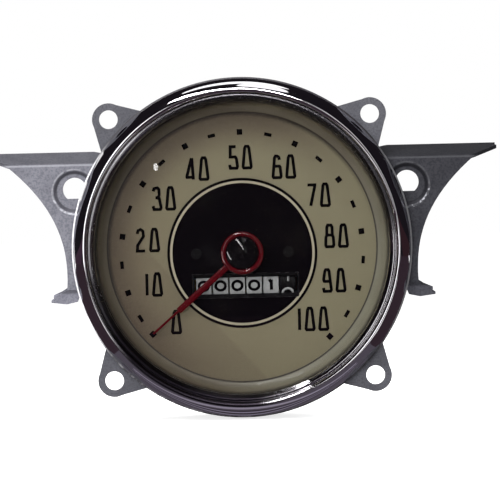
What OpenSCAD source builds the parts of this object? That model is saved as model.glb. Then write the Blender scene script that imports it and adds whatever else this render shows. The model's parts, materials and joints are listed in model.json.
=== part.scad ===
// Round dashboard speedometer: magnetic speed cup, red pointer and a six-drum odometer.
// Millimetres. X runs right, Y to the rear and Z up. The origin is the centre of the four ear holes,
// on the front face of the mounting plate.

/* [Bezel, glass and case] */
// Outside diameter of the bezel
bezel_diameter = 127; // [125:0.5:129]
// Crown of the bezel in front of the mounting plate
bezel_height = 9.6; // [8.8:0.1:11]
// Sheet of the bezel
bezel_sheet = 0.7; // [0.5:0.05:0.8]
// Glass thickness
glass_thickness = 2.25; // [1.8:0.05:2.4]
// Gasket thickness
gasket_thickness = 0.6; // [0.4:0.1:0.8]
// Sheet of the case
case_sheet = 0.8; // [0.6:0.1:1]
// Depth of the dial behind the glass
dial_depth = 7.7; // [6.8:0.1:9]
// Stem behind the case
stem_length = 15; // [13:0.5:20]
// Stem diameter over its thread
stem_diameter = 15.88; // [15:0.02:17]

/* [Mounting plate and wings] */
// Spacing of the ear holes, both ways
hole_spacing = 97.5; // [96.5:0.5:99]
// Ear hole diameter
ear_hole_diameter = 7; // [6:0.1:7.4]
// Width of an ear
ear_width = 12.2; // [11:0.2:13]
// Angle between an ear's flank and its centre line
ear_flare = 30; // [24:1:34]
// Thickness of the mounting plate
plate_thickness = 1.6; // [1.2:0.1:2]
// Sheet of the wings
wing_sheet = 1.4; // [1:0.1:1.8]
// Height of the wing bend above the centre
wing_top = 32.5; // [31.5:0.5:34]
// Wing hole, from the edge of the bezel outwards
wing_hole_out = -1.4; // [-1.8:0.1:1]
// Wing hole, above the centre
wing_hole_z = 23; // [22:0.5:23.5]
// Wing hole diameter
wing_hole_diameter = 8.8; // [8:0.2:9.2]

/* [Dial] */
// Pointer axis below the centre of the case
axis_drop = 2.2; // [1:0.1:3]
// Dial sheet
dial_sheet = 0.8; // [0.6:0.1:1]
// Radius of the scale marks
tick_radius = 45.3; // [44.5:0.1:46]
// Radius of the numerals' centres
numeral_radius = 35.8; // [35:0.1:36.4]
// Height of a numeral
numeral_height = 9.2; // [8.4:0.1:9.6]
// Width of a numeral
numeral_width = 4.2; // [3.6:0.1:4.4]
// Line width of the numerals
numeral_stroke = 1.14; // [0.95:0.01:1.14]
// Radius of the black centre disc
disc_radius = 26.2; // [26:0.1:26.6]
// Degrees of pointer turn for one unit of speed
degrees_per_unit = 2.7; // [2.6:0.01:2.72]

/* [Pointer] */
// Pointer length from its axis
pointer_length = 45; // [42:0.5:45.5]
// Outside radius of the raised pointer ring
pointer_ring_radius = 8.1; // [7.8:0.1:8.4]
// Pointer turn between its stops, in degrees
pointer_travel = 270; // [260:1:275]

/* [Odometer] */
// Drum radius
drum_radius = 10; // [9.9:0.05:10.2]
// Spacing of the drums along their axle
drum_pitch = 6.3; // [6.2:0.05:6.4]
// Gap between two drums
drum_gap = 0.65; // [0.6:0.05:0.7]
// Drum axle below the pointer axis
odometer_drop = 12.2; // [12:0.1:12.4]
// Left face of the first drum, sideways from the pointer axis
first_drum_x = -17.6; // [-18:0.1:-17.4]
// Height of the dial window
window_height = 7.4; // [7:0.1:7.6]
// How far the frame's upper and lower sides slope in over the drums
window_slope = 0.75; // [0.4:0.05:0.9]

/* [Fits] */
// Radial gap of a running fit
running_gap = 0.03; // [0.02:0.01:0.06]
// Gap between pieces that rest on each other
rest_gap = 0.05; // [0.03:0.01:0.08]

/* [Hidden] */
$fn = 96;

// Stack of the bezel, counted forward from the mounting plate
bezel_r = bezel_diameter / 2;
hem_rear = -0.1;
hem_front = hem_rear - bezel_sheet;
flange_rear = hem_front - rest_gap;
flange_front = flange_rear - case_sheet;
rim_sheet = 0.5;
rim_rear = flange_front - rest_gap;
rim_front = rim_rear - rim_sheet;
glass_rear = rim_front - rest_gap;
glass_front = glass_rear - glass_thickness;
gasket_rear = glass_front - rest_gap;
gasket_front = gasket_rear - gasket_thickness;
lip_rear = gasket_front - rest_gap;
lip_front = lip_rear - bezel_sheet;
crown_y = min(-bezel_height, lip_front - 2);

// Radii of the bezel, case and glass
lip_r = bezel_r - 8.7;
crown_r = bezel_r - 4.6;
seat_r = lip_r + 2.9;
glass_r = seat_r - 0.2;
case_r = bezel_r - 6.3;
flange_r = bezel_r - bezel_sheet - 0.2;
rim_inner_r = lip_r - 4.6;
rim_outer_r = case_r + 2;
dial_r = case_r - case_sheet - 1.6;

// Stack of the movement, counted to the rear
dial_front = rim_front + dial_depth;
dial_rear = dial_front + dial_sheet;
print_sheet = 0.12;
drum_front = dial_rear + 0.8;
axle_y = drum_front + drum_radius;
front_plate_y = dial_rear + 2.4;
front_plate_sheet = 1.5;
front_plate_rear = front_plate_y + front_plate_sheet;
cup_front = axle_y + drum_radius + 2.2;
cup_depth = 6.2;
first_shaft_y = cup_front + cup_depth + 7;
base_front = first_shaft_y + 6;
base_sheet = 3;
base_rear = base_front + base_sheet;
wall_front = base_rear + rest_gap;
wall_rear = wall_front + case_sheet;
stem_front = wall_rear + rest_gap;
stem_rear = stem_front + stem_length;

// Three worm stages, each ten to one: two starts on the worm and twenty teeth on the wheel
worm_starts = 2;
wheel_teeth = 20;
fine_module = 0.5;
fine_centres = 7.6;
coarse_module = 0.85;
coarse_centres = odometer_drop;
wheel_face = 1.2;
shaft_r = 1;

// Drums along their axle
drum_count = 6;
drum_face = drum_pitch - drum_gap;
drum_bore_r = 1.5 + running_gap;
axle_r = 1.5;
last_drum_right = first_drum_x + drum_count * drum_pitch - drum_gap;
gear_x = last_drum_right + 4.7;
left_cheek_x = first_drum_x - 4.4;
right_cheek_x = gear_x + 6.1;
cheek_sheet = 2.4;
window_left = first_drum_x - 0.5;
window_right = last_drum_right + 0.5;

// Transfer gearing inside the drums
transfer_module = 0.8;
inner_teeth = 20;
pinion_teeth = 6;
pinion_centres = transfer_module * (inner_teeth - pinion_teeth) / 2;
carrier_sheet = 0.3;
carrier_reach = 12.5;
rod_r = 1;

// Dial details
zero_angle = -131;
screw_x = 17.3;
staff_r = 0.8;
drive_r = 2.5;
stem_r = stem_diameter / 2;
spigot_r = stem_r - 0.9;
lamp_at = case_r - 12.25;
lamp_angle = 32.3;

// Wings and their rivets
rivet_r = 1.2;
rivet_x = bezel_r - 4.6;
rivet_z = 11;
wing_rear = plate_thickness + rest_gap + wing_sheet;
wing_hole_x = bezel_r + wing_hole_out;
wing_reach = 24.3;
wing_waist = 2;
flange_slope = 23.5;
foot_slope = -50;
foot_z = -14.5;
waist_z = foot_z + 3.5;

// Movement frame, bushes and small pins
plate_low = -4.1;
plate_high = 12;
cheek_low = -odometer_drop - 12;
lug_x = 4.5;
lug_sheet = 2.5;
front_screw_r = 0.8;
frame_screw_r = 1.5;
bush_r = 2;
drive_bush_r = 4;
bush_rear = base_rear + 10.5;
frame_screw_x = 17;
frame_screw_z = [-17, 8];
cup_r = 12;
stop_r = 0.5;
stop_at = 3.1;
stop_angle = 90;
lamp_hole_r = 6.6;

// Hairspring
spring_strip = 0.18;
spring_pitch = 0.8;
spring_turns = 5;
spring_start = 1.75;
stud_angle = 40;
stud_at = spring_start + spring_pitch * spring_turns + 0.65;

// Recesses and hubs of the drums
recess_left = 1.4;
recess_right = 2;
inner_r = transfer_module * inner_teeth / 2;
hub_r = 2.2;
journal_r = 1;

// Numeral strokes in a box two wide and one high. Each numeral lists its lines; a line whose first entry
// is true is a closed loop.
ZERO = [[true, [[0.8, 0], [1, 0.06], [0.52, 0.92], [0.3, 1], [-0.3, 1], [-0.52, 0.92], [-1, 0.06],
    [-0.8, 0]]]];
ONE = [[false, [[0, 0], [0, 1]]]];
TWO = [[false, [[-0.85, 0.8], [-0.6, 0.95], [0, 1], [0.55, 0.92], [0.68, 0.68], [-0.8, 0.26], [-0.9, 0],
    [1, 0]]]];
THREE = [[false, [[-0.85, 0.84], [-0.65, 0.97], [0.2, 1], [0.55, 0.92], [0.6, 0.68], [0.3, 0.54],
    [-0.35, 0.54]]], [false, [[0, 0.54], [0.6, 0.5], [1, 0.08], [0.8, 0], [-0.75, 0], [-0.95, 0.16]]]];
FOUR = [[false, [[0.75, 0], [0.45, 1]]], [false, [[0.36, 1], [-0.9, 0.1]]],
    [false, [[-1.1, 0.11], [1.1, 0.11]]]];
FIVE = [[false, [[0.65, 1], [-0.7, 1], [-0.75, 0.52], [0.5, 0.52], [0.75, 0.44], [1, 0.08], [0.8, 0],
    [-0.75, 0], [-0.95, 0.16]]]];
SIX = [[false, [[0.65, 0.82], [0.5, 0.95], [0.1, 1], [-0.3, 1], [-0.55, 0.92], [-0.75, 0.5]]],
    [true, [[0.8, 0], [1, 0.06], [0.78, 0.48], [0.6, 0.53], [-0.75, 0.53], [-1, 0.06], [-0.8, 0]]]];
SEVEN = [[false, [[-0.95, 0.97], [0.85, 0.97], [0.8, 0.88], [-0.25, 0]]]];
EIGHT = [[true, [[0.68, 0.54], [0.64, 0.9], [0.4, 1], [-0.4, 1], [-0.64, 0.9], [-0.68, 0.54]]],
    [true, [[0.8, 0], [1, 0.08], [0.9, 0.44], [0.6, 0.54], [-0.6, 0.54], [-0.9, 0.44], [-1, 0.08],
    [-0.8, 0]]]];
NINE = [[true, [[-0.65, 0.46], [0.75, 0.46], [0.52, 0.92], [0.3, 1], [-0.3, 1], [-0.52, 0.92],
    [-0.85, 0.54]]], [false, [[0.73, 0.52], [1, 0.06], [0.8, 0], [-0.75, 0], [-0.95, 0.16]]]];
NUMERALS = [ZERO, ONE, TWO, THREE, FOUR, FIVE, SIX, SEVEN, EIGHT, NINE];

// Lines of a given width, with mitred corners
function unit(v) = v / norm(v);
function left_of(v) = [-v[1], v[0]];
function side(p, i) = left_of(unit(p[(i + 1) % len(p)] - p[i]));
function before(p, i) = side(p, (i + len(p) - 1) % len(p));
function corner(a, b) = (a + b) / (1 + a * b);
function mitre(p, i, closed) =
    closed ? corner(before(p, i), side(p, i)) :
    i == 0 ? side(p, 0) :
    i == len(p) - 1 ? before(p, i) : corner(before(p, i), side(p, i));
function edge(p, w, closed) = [for (i = [0 : len(p) - 1]) p[i] + mitre(p, i, closed) * w];
function reversed(p) = [for (i = [len(p) - 1 : -1 : 0]) p[i]];

module line(p, w, closed = false) {
    n = len(p);
    if (closed) {
        polygon(concat(edge(p, -w / 2, true), edge(p, w / 2, true)),
            paths = [[for (i = [0 : n - 1]) i], [for (i = [0 : n - 1]) n + i]]);
    } else {
        polygon(concat(edge(p, -w / 2, false), reversed(edge(p, w / 2, false))));
    }
}

// Placing helpers
module on_axis() translate([0, 0, -axis_drop]) children();
module on_axle() translate([0, axle_y, -axis_drop - odometer_drop]) children();
module sheet(y, t) translate([0, y + t, 0]) rotate([90, 0, 0]) linear_extrude(t) children();
module turned() rotate([-90, 0, 0]) rotate_extrude() children();
module rod_y(r, y0, y1) translate([0, y0, 0]) rotate([-90, 0, 0]) cylinder(r = r, h = y1 - y0);
module rod_x(r, x0, x1) translate([x0, 0, 0]) rotate([0, 90, 0]) cylinder(r = r, h = x1 - x0);
module plate_x(x, t) translate([x, 0, 0]) rotate([90, 0, 90]) linear_extrude(t) children();
module tube_y(r, hole, y0, y1) {
    difference() {
        rod_y(r, y0, y1);
        rod_y(hole, y0 - 1, y1 + 1);
    }
}
module tube_x(r, hole, x0, x1) {
    difference() {
        rod_x(r, x0, x1);
        rod_x(hole, x0 - 1, x1 + 1);
    }
}
module both_sides() {
    children();
    mirror([1, 0, 0]) children();
}

// Outline of a wheel with straight-sided teeth, one of them centred on the X axis
function tooth_ring(n, tip, root, tip_part, root_part) = [
    for (i = [0 : n - 1])
        for (s = [[root, -root_part], [tip, -tip_part], [tip, tip_part], [root, root_part]])
            let (a = (i + s[1]) * 360 / n) s[0] * [cos(a), sin(a)]
];
module wheel_outline(m) {
    r = m * wheel_teeth / 2;
    polygon(tooth_ring(wheel_teeth, r + 0.8 * m, r - 1.05 * m, 0.1, 0.24));
}

// Worm along Z, centred on the origin. Its surface is a grid of rings, twelve to a pitch and twenty-four
// points to a turn, so that one step along and one step round stay on the same thread.
THREAD = [0, 0, 0, 0, 0.5, 1, 1, 1, 0.5, 0, 0, 0];
module worm(m, pitch_r, pitches, shift) {
    steps = 24;
    rings = 12 * pitches;
    root = pitch_r - 1.05 * m;
    height = 1.85 * m;
    points = [
        for (i = [0 : rings]) for (j = [0 : steps - 1])
            let (k = (i - rings / 2 - j + shift + 240) % 12, r = root + height * THREAD[k],
                a = j * 360 / steps)
                [r * cos(a), r * sin(a), (i - rings / 2) * PI * m / 12]
    ];
    ends = [[0, 0, -rings / 2 * PI * m / 12], [0, 0, rings / 2 * PI * m / 12]];
    count = (rings + 1) * steps;
    sides = [
        for (i = [0 : rings - 1]) for (j = [0 : steps - 1]) for (half = [0, 1])
            let (a = i * steps + j, b = i * steps + (j + 1) % steps, c = b + steps, d = a + steps)
                half == 0 ? [a, c, b] : [a, d, c]
    ];
    low = [for (j = [0 : steps - 1]) [count, j, (j + 1) % steps]];
    high = [for (j = [0 : steps - 1]) [count + 1, count - steps + (j + 1) % steps, count - steps + j]];
    polyhedron(concat(points, ends), concat(sides, low, high));
}

// Mounting plate: a ring with four ears, whose flanks spread towards the ring
module ear_outline(at) {
    r = ear_width / 2;
    tip = [at, 0] + 0.98 * r * [sin(ear_flare), cos(ear_flare)];
    reach = tip[0] - bezel_r + 8;
    base = tip + reach * [-1, tan(ear_flare)];
    translate([at, 0]) circle(r);
    polygon([tip, base, [base[0], -base[1]], [tip[0], -tip[1]]]);
}
module mounting_plate() {
    ear_at = hole_spacing / sqrt(2);
    color("Silver") sheet(0, plate_thickness) difference() {
        union() {
            circle(bezel_r - 0.9);
            for (a = [45 : 90 : 315]) rotate(a) ear_outline(ear_at);
        }
        circle(case_r + rest_gap);
        for (a = [45 : 90 : 315]) rotate(a) translate([ear_at, 0]) circle(ear_hole_diameter / 2);
        for (s = [-1, 1]) for (t = [-1, 1])
            translate([s * rivet_x, t * rivet_z]) circle(rivet_r + rest_gap);
    }
}

// Wings: a face with a dished hole, a flange bent back along the top and a flared foot. The bent pieces
// start just inside the face, so their corners never fall on its corners.
function wing_edge(t) = [
    wing_waist + (wing_reach - wing_waist) * pow(t, 2.35), waist_z + (wing_top - waist_z) * t
];
module wing_outline() {
    steps = 18;
    translate([bezel_r, 0]) polygon(concat(
        [[-18.5, wing_top], [-18.5, foot_z], [wing_waist + 0.2, foot_z]],
        [for (i = [0 : steps]) wing_edge(i / steps)]
    ));
}
module flange_outline() {
    r = wing_reach;
    translate([bezel_r, 0]) polygon([
        [-14.5, 0], [r - 1.9, 0], [r + 0.1, 1.6], [r + 8.4, 9.4], [r + 7.1, 10.4], [r + 7.9, 11.8],
        [-8.5, 11.8], [-11, 10.6]
    ]);
}
module foot_outline() {
    translate([bezel_r, 0]) polygon([
        [-3.5, 0], [1.8, 0], [4.1, 1.9], [7.5, 3.8], [6.9, 4.8], [8.5, 6.4], [2.7, 7.4], [-1.5, 6.2]
    ]);
}
module bent(y, z, slope) {
    translate([0, y, z]) rotate([slope, 0, 0]) children();
}
module wing() {
    front = plate_thickness + rest_gap;
    tuck = 0.15;
    dish = 0.9;
    dish_z = wing_hole_z - 0.9;
    dish_r = min(wing_hole_diameter / 2 + 3.8, wing_top - 1.5 - dish_z);
    floor_r = dish_r - 1.4;
    difference() {
        union() {
            sheet(front, wing_sheet) wing_outline();
            bent(front + tuck, wing_top - tuck, flange_slope)
                translate([0, 0, -wing_sheet]) linear_extrude(wing_sheet) flange_outline();
            bent(front + tuck, foot_z + tuck, foot_slope) linear_extrude(wing_sheet) foot_outline();
            translate([wing_hole_x, wing_rear, dish_z]) rotate([-90, 0, 0])
                cylinder(r1 = dish_r, r2 = floor_r, h = dish);
        }
        translate([0, -1, 0]) rod_y(case_r + rest_gap, 0, 40);
        translate([wing_hole_x, front, dish_z]) rotate([-90, 0, 0]) translate([0, 0, -0.01])
            cylinder(r1 = dish_r, r2 = floor_r, h = dish + 0.01);
        translate([wing_hole_x, 0, wing_hole_z]) sheet(front - 1, wing_sheet + 4) intersection() {
            circle(wing_hole_diameter / 2);
            translate([-10, -0.78 * wing_hole_diameter / 2]) square(20);
        }
        for (t = [-1, 1]) translate([rivet_x, 0, t * rivet_z]) rod_y(rivet_r + rest_gap, 0, 10);
    }
}
module left_wing() color("Silver") mirror([1, 0, 0]) wing();
module right_wing() color("Silver") wing();
module wing_rivets() {
    color("Gainsboro") both_sides() for (t = [-1, 1]) translate([rivet_x, 0, t * rivet_z]) {
        rod_y(rivet_r, 0, wing_rear);
        rod_y(2 * rivet_r, wing_rear, wing_rear + 0.8);
    }
}

// Case: a drawn can with a front flange; its rear wall takes the stem, the frame screws and the lamps
module case_can() {
    color("DimGray") difference() {
        turned() polygon([
            [0, wall_front], [case_r - case_sheet, wall_front], [case_r - case_sheet, flange_front],
            [flange_r, flange_front], [flange_r, flange_rear], [case_r, flange_rear], [case_r, wall_rear],
            [0, wall_rear]
        ]);
        on_axis() {
            rod_y(spigot_r + rest_gap, wall_front - 1, wall_rear + 1);
            at_frame_screws() rod_y(frame_screw_r + rest_gap, wall_front - 1, wall_rear + 1);
        }
        both_sides() at_lamp() rod_y(lamp_hole_r, wall_front - 1, wall_rear + 1);
    }
}

// Bezel: a rolled sheet from the hem behind the case flange over the crown to the lip on the gasket
module bezel() {
    outer_w = bezel_r - crown_r;
    outer_h = -crown_y + hem_front;
    arc = [for (a = [0 : 9 : 90]) [cos(a), sin(a)]];
    outside = [for (p = arc) [crown_r + outer_w * p[0], hem_front - outer_h * p[1]]];
    inner_w = outer_w - bezel_sheet;
    inner_h = outer_h - bezel_sheet;
    inside = [for (p = arc) [crown_r + inner_w * p[0], hem_front - inner_h * p[1]]];
    bead_y = crown_y + 1.9;
    color("Silver") difference() {
        turned() polygon(concat(
            [[case_r + 1.8, hem_rear], [bezel_r - 0.35, hem_rear], [bezel_r - 0.1, hem_rear - 0.12],
                [bezel_r, hem_rear - 0.35]],
            outside,
            [[crown_r - 0.45, crown_y + 0.12], [crown_r - 0.85, crown_y + 0.5],
                [crown_r - 1.15, crown_y + 1.1], [crown_r - 1.3, bead_y], [lip_r + 2.4, bead_y],
                [lip_r + 1.95, bead_y - 0.12],
                [lip_r + 1.55, bead_y], [lip_r + 1.25, bead_y + 0.35], [lip_r + 0.55, lip_front - 0.5],
                [lip_r + 0.15, lip_front], [lip_r, lip_rear - 0.35], [lip_r, lip_rear],
                [seat_r + 0.5, lip_rear], [seat_r + 0.5, crown_y + 1.4]],
            reversed(inside),
            [[bezel_r - bezel_sheet, hem_front], [case_r + 1.8, hem_front]]
        ));
        translate([3.2, hem_rear - 0.5, -bezel_r]) cube([1.6, 3, 2.2], center = true);
    }
}
module glass() color("LightCyan", 0.3) rod_y(glass_r, glass_front, glass_rear);
module glass_gasket() color("Black") tube_y(glass_r, lip_r + 0.35, gasket_front, gasket_rear);

// Dial rim: a coved ring from the glass down to the dial
module dial_rim() {
    arc = [for (a = [0 : 10 : 90]) [cos(a), sin(a)]];
    w = lip_r - 0.3 - rim_inner_r;
    h = dial_front - 0.1 - rim_rear;
    color("Wheat") turned() polygon(concat(
        [[rim_outer_r, rim_front], [lip_r - 0.3, rim_front]],
        [for (p = arc) [rim_inner_r + w * p[0], rim_rear + (h - rim_sheet) * p[1]]],
        [[rim_inner_r, dial_front - 0.1]],
        reversed([for (p = arc) [rim_inner_r + (w + rim_sheet) * p[0], rim_rear + h * p[1]]]),
        [[rim_outer_r, rim_rear]]
    ));
}

// Dial with its window, pointer hole and screw holes
module window_cut(grow) {
    translate([window_left - grow, -odometer_drop - window_height / 2 - grow])
        square([window_right - window_left + 2 * grow, window_height + 2 * grow]);
}
module dial_holes() {
    window_cut(0.9);
    circle(1.5);
    for (s = [-1, 1]) translate([s * screw_x, 0]) circle(1.3);
}
module dial() {
    color("DarkKhaki") sheet(dial_front, dial_sheet) difference() {
        circle(dial_r);
        translate([0, -axis_drop]) dial_holes();
    }
}

// Black print on the dial: marks, numerals and the centre disc with its outline
function mark_angle(v) = v == 0 ? zero_angle : (v - 50) * degrees_per_unit;
module at_mark(angle, r) rotate(-angle) translate([0, r]) children();
module numeral(n) {
    for (stroke = NUMERALS[n]) line([for (p = stroke[1]) [
        p[0] * (numeral_width - numeral_stroke) / 2,
        (p[1] - 0.5) * (numeral_height - numeral_stroke)
    ]], numeral_stroke, stroke[0]);
}
module number(v) {
    digits = v == 0 ? [0] : v < 100 ? [v / 10, 0] : [1, 0, 0];
    wide = 1.22 * numeral_width;
    narrow = 0.93 * numeral_width;
    x = [for (i = 0, a = 0; i < len(digits); a = a + (digits[i] == 1 ? narrow : wide), i = i + 1) a];
    for (i = [0 : len(digits) - 1]) translate([x[i] - x[len(x) - 1] / 2, 0]) numeral(digits[i]);
}
module dial_print() {
    color("Black") on_axis() sheet(dial_front - print_sheet, print_sheet) {
        for (v = [5 : 10 : 95]) at_mark(mark_angle(v), tick_radius) square([2.8, 1.3], center = true);
        for (v = [0 : 10 : 100]) at_mark(mark_angle(v), tick_radius) square(2.1, center = true);
        for (v = [0 : 10 : 100]) {
            a = (v - 50) * degrees_per_unit;
            translate(numeral_radius * [sin(a), cos(a)]) number(v);
        }
        difference() {
            circle(disc_radius + 1.9);
            circle(disc_radius + 0.9);
        }
        difference() {
            circle(disc_radius);
            dial_holes();
        }
    }
}

// Sloping frame set in the dial window
module window_frame() {
    front = dial_front - print_sheet;
    back = dial_rear + 0.5;
    x = (window_left + window_right) / 2;
    size = [window_right - window_left, window_height];
    module slab(y, grow) {
        translate([x, y, -odometer_drop]) rotate([90, 0, 0])
            linear_extrude(0.01) square(size + 2 * grow, center = true);
    }
    color("DimGray") on_axis() difference() {
        hull() {
            slab(front, [0.85, 0.85]);
            slab(back, [0.3, 0.3]);
        }
        hull() {
            slab(front - 0.2, [0.7, 0.7]);
            slab(back + 0.2, [0, -window_slope]);
        }
    }
}

// Dial screws and the posts that they hold the dial on
module at_dial_screws() for (s = [-1, 1]) translate([s * screw_x, 0, 0]) children();
module dial_screws() {
    head_rear = dial_front - print_sheet - 0.02;
    color("Black") on_axis() at_dial_screws() difference() {
        union() {
            rod_y(2, head_rear - 0.8, head_rear);
            rod_y(1.1, head_rear - 0.4, front_plate_y - 0.6);
        }
        translate([0, head_rear - 0.8, 0]) cube([5, 0.7, 0.5], center = true);
    }
}
module dial_posts() {
    color("Goldenrod") on_axis() at_dial_screws() tube_y(2.4, 1.12, dial_rear, front_plate_y);
}

// Front plate of the movement, above the drums
function cheek_mid(s) = s < 0 ? left_cheek_x - cheek_sheet / 2 : right_cheek_x + cheek_sheet / 2;
module at_front_screws() for (s = [-1, 1]) for (z = [-1, 9.5]) translate([cheek_mid(s), 0, z]) children();
module front_plate() {
    color("DarkGray") on_axis() difference() {
        sheet(front_plate_y, front_plate_sheet) difference() {
            translate([left_cheek_x - cheek_sheet, plate_low])
                square([right_cheek_x - left_cheek_x + 2 * cheek_sheet, plate_high - plate_low]);
            circle(bush_r + rest_gap);
            translate([gear_x, 0]) circle(shaft_r + running_gap);
            rotate(stud_angle) translate([stud_at, 0]) circle(0.5 + rest_gap);
            rotate(stop_angle) translate([stop_at, 0]) circle(stop_r + rest_gap);
        }
        at_front_screws() rod_y(front_screw_r + rest_gap, front_plate_y - 1, front_plate_rear + 1);
    }
}
module front_plate_screws() {
    color("Silver") on_axis() at_front_screws() {
        rod_y(1.7, front_plate_y - 0.9, front_plate_y);
        rod_y(front_screw_r, front_plate_y - 0.5, front_plate_rear + 4);
    }
}

// Movement frame: two cheeks on a base
module at_frame_screws() {
    for (s = [-1, 1]) for (z = frame_screw_z) translate([s * frame_screw_x, 0, z]) children();
}
module cheek(x) {
    difference() {
        translate([x, front_plate_rear, cheek_low])
            cube([cheek_sheet, base_front - front_plate_rear, plate_high - cheek_low]);
        translate([x - 1, axle_y + drum_radius + 2, -16])
            cube([cheek_sheet + 2, first_shaft_y - axle_y - drum_radius - 7, 20]);
    }
}
module movement_frame() {
    color("LightSlateGray") on_axis() difference() {
        union() {
            cheek(left_cheek_x - cheek_sheet);
            cheek(right_cheek_x);
            translate([left_cheek_x - cheek_sheet, base_front, cheek_low])
                cube([right_cheek_x - left_cheek_x + 2 * cheek_sheet, base_sheet, plate_high - cheek_low]);
            translate([-lug_x - lug_sheet, first_shaft_y - 2.5, -fine_centres - 2.5])
                cube([lug_sheet, base_front - first_shaft_y + 3, 5]);
        }
        rod_y(drive_bush_r + rest_gap, base_front - 1, base_rear + 1);
        translate([0, first_shaft_y, -fine_centres])
            rod_x(shaft_r + running_gap, -lug_x - lug_sheet - 1, right_cheek_x + 10);
        translate([gear_x, 0, 0]) rod_y(shaft_r + running_gap, base_front - 1, base_front + 2);
        translate([0, axle_y, -odometer_drop])
            rod_x(axle_r + rest_gap, left_cheek_x - 10, right_cheek_x + 10);
        at_rod() rod_x(rod_r + rest_gap, left_cheek_x - 10, right_cheek_x + 10);
        at_front_screws() rod_y(front_screw_r + rest_gap, front_plate_rear - 1, front_plate_rear + 5);
        at_frame_screws() rod_y(frame_screw_r + rest_gap, base_front - 1, base_rear + 1);
    }
}
// Threaded stem for the drive cable, on the rear of the base
module cable_stem() {
    color("LightSlateGray") on_axis() difference() {
        union() {
            rod_y(spigot_r, base_rear, stem_front + 0.2);
            rod_y(stem_r, stem_front, stem_rear);
        }
        rod_y(drive_bush_r + rest_gap, base_rear - 1, bush_rear + 1.5);
        rod_y(stem_r - 2.4, bush_rear + 0.4, stem_rear + 1);
    }
}
module at_rod() {
    reach = carrier_reach * sqrt(0.5);
    translate([0, axle_y + reach, -odometer_drop - reach]) children();
}
module frame_screws() {
    color("Silver") on_axis() at_frame_screws() difference() {
        union() {
            rod_y(frame_screw_r, base_front + 0.3, wall_rear + 0.5);
            rod_y(2.9, wall_rear + 0.02, wall_rear + 1.8);
        }
        translate([0, wall_rear + 1.8, 0]) cube([7, 1.4, 0.8], center = true);
    }
}
module staff_bush() {
    color("Goldenrod") on_axis() {
        tube_y(bush_r, staff_r + running_gap, front_plate_y - 0.3, front_plate_rear + 0.4);
    }
}
module drive_bush() {
    color("Goldenrod") on_axis() difference() {
        union() {
            rod_y(drive_bush_r, base_front - 0.5, bush_rear);
            rod_y(drive_bush_r + 1, base_front - 1, base_front - 0.02);
        }
        rod_y(drive_r + running_gap, base_front - 5, bush_rear + 5);
    }
}

// Field ring outside the speed cup, held on the cheeks
module field_ring() {
    color("DarkSlateGray") on_axis() {
        tube_y(cup_r + 2.2, cup_r + 0.8, cup_front + 0.3, cup_front + cup_depth + 0.7);
        for (arm = [[left_cheek_x + 0.02, -10.8], [10.8, right_cheek_x - 0.02]])
            translate([arm[0], cup_front + 1.5, 6.5]) cube([arm[1] - arm[0], 3.5, 3]);
    }
}

// Hairspring: a flat spiral from the collet to the stud
spring_points = [
    for (a = [0 : 15 : 360 * spring_turns])
        (spring_start + spring_pitch * a / 360) * [cos(a + stud_angle), sin(a + stud_angle)]
];
echo(least_spring_gap = spring_pitch - spring_strip);
module hairspring() {
    color("SteelBlue") on_axis() sheet(dial_rear + 0.9, 0.6) line(spring_points, spring_strip);
}
module hairspring_stud() {
    color("Goldenrod") on_axis() rotate([0, -stud_angle, 0]) translate([stud_at, 0, 0]) {
        rod_y(0.5, dial_rear + 0.8, front_plate_rear);
        translate([-0.28, dial_rear + 1.2, 0]) cube([0.4, 0.8, 1.2], center = true);
    }
}
module stop_pin() {
    color("Silver") on_axis() rotate([0, -stop_angle, 0]) translate([stop_at, 0, 0])
        rod_y(stop_r, front_plate_y, front_plate_rear + 2.4);
}

// Odometer axle with its spacers
module between_cheeks(r) rod_x(r, left_cheek_x - cheek_sheet, right_cheek_x + cheek_sheet);
module odometer_axle() color("Silver") on_axle() between_cheeks(axle_r);
module axle_spacers() {
    color("Goldenrod") on_axle() {
        tube_x(2.4, axle_r + rest_gap, left_cheek_x + 0.05, first_drum_x - 0.25);
        tube_x(2.4, axle_r + rest_gap, gear_x + 1.1, right_cheek_x - 0.05);
    }
}

// Carriers stand in the gaps between the drums and hold the transfer pinions
function gap_x(i) = first_drum_x + i * drum_pitch - drum_gap / 2;
module carrier_outline() {
    difference() {
        union() {
            circle(2.1);
            circle_to([pinion_centres, 0], 1.9, 1.6);
            circle_to(carrier_reach * [cos(45), -sin(45)], 1.9, 1.2);
        }
        circle(axle_r + rest_gap);
        translate([pinion_centres, 0]) circle(journal_r + running_gap);
        translate(carrier_reach * [cos(45), -sin(45)]) circle(rod_r + rest_gap);
    }
}
module circle_to(p, end_r, half) {
    translate(p) circle(end_r);
    rotate(atan2(p[1], p[0])) translate([0, -half]) square([norm(p), 2 * half]);
}
module pinion_carriers() {
    color("Silver") on_axle() for (i = [1 : drum_count - 1])
        plate_x(gap_x(i) - carrier_sheet / 2, carrier_sheet) carrier_outline();
}
module carrier_rod() color("Silver") on_axis() at_rod() between_cheeks(rod_r);

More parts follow.
